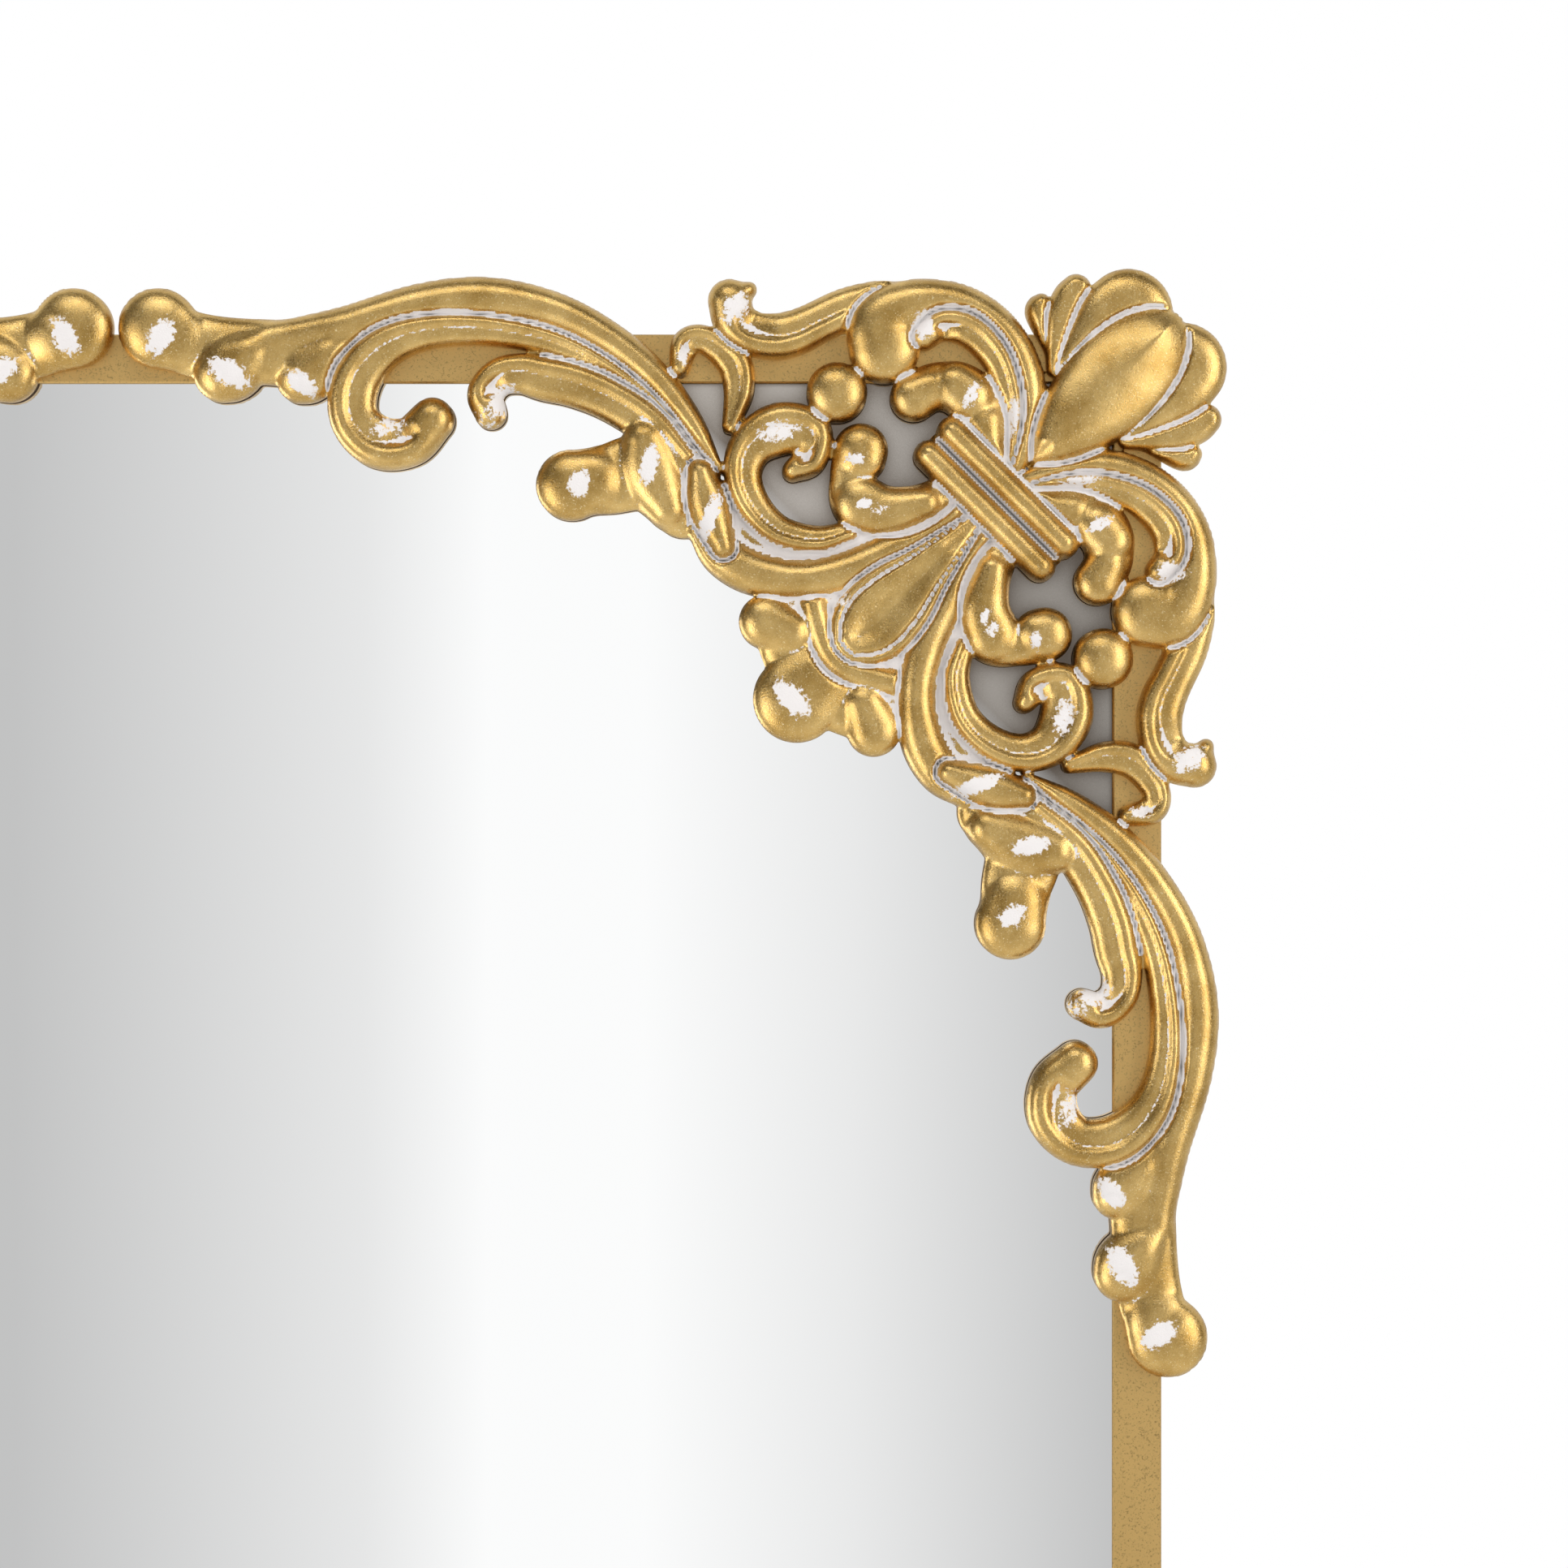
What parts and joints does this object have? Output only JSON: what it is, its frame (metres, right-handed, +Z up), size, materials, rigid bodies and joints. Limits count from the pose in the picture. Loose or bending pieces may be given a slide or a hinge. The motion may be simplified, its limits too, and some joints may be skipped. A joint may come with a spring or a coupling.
{
  "type": "leaning floor mirror",
  "caption": "Tall rectangular floor mirror in a slim gold section frame, with openwork cast baroque ornaments over the corners and hanging rings on the back.",
  "frame": {"origin": "on the floor under the middle of the mirror, halfway through its depth", "axes": "+Z up along the height, +X to the viewer's right along the width, the glass faces -Y"},
  "size_m": [0.8648, 0.045, 1.8047],
  "materials": {
    "gold_leaf_casting": "cast resin with satin gold leaf worn to a pale ground",
    "gold_frame": "fine-grained satin gold lacquer",
    "silvered_glass": "clear float glass, silvered at the back",
    "foam_tape": "double-sided foam tape",
    "fibreboard": "bare hard fibreboard",
    "spring_steel": "blued spring steel",
    "key_metal": "plain die-cut plate",
    "pad_rubber": "matte black rubber",
    "strap_steel": "zinc plated",
    "ring_steel": "zinc plated",
    "screw_steel": "zinc plated"
  },
  "bodies": {
    "mirror_body": {"top_rail": "gold_frame", "bottom_rail": "gold_frame", "left_stile": "gold_frame", "right_stile": "gold_frame", "ornament_top_left": "gold_leaf_casting", "ornament_top_right": "gold_leaf_casting", "ornament_bottom_left": "gold_leaf_casting", "ornament_bottom_right": "gold_leaf_casting", "ornament_screws": "screw_steel", "mirror_glass": "silvered_glass", "glass_tape": "foam_tape", "backing_board": "fibreboard", "spring_clips": "spring_steel", "corner_key_top_left": "key_metal", "corner_key_top_right": "key_metal", "corner_key_bottom_left": "key_metal", "corner_key_bottom_right": "key_metal", "hanger_strap_left": "strap_steel", "hanger_strap_right": "strap_steel", "strap_screws": "screw_steel", "wall_pads": "pad_rubber"},
    "left_ring": {"d_ring_left": "ring_steel"},
    "right_ring": {"d_ring_right": "ring_steel"}
  },
  "joints": [
    {"name": "left_ring_swing", "type": "hinge", "parent": "mirror_body", "child": "left_ring", "pos_m": [-0.4017, 0.0182, 1.41487], "axis": [1, 0, 0], "range_deg": [0, 165]},
    {"name": "right_ring_swing", "type": "hinge", "parent": "mirror_body", "child": "right_ring", "pos_m": [0.4017, 0.0182, 1.41487], "axis": [1, 0, 0], "range_deg": [0, 165]}
  ]
}
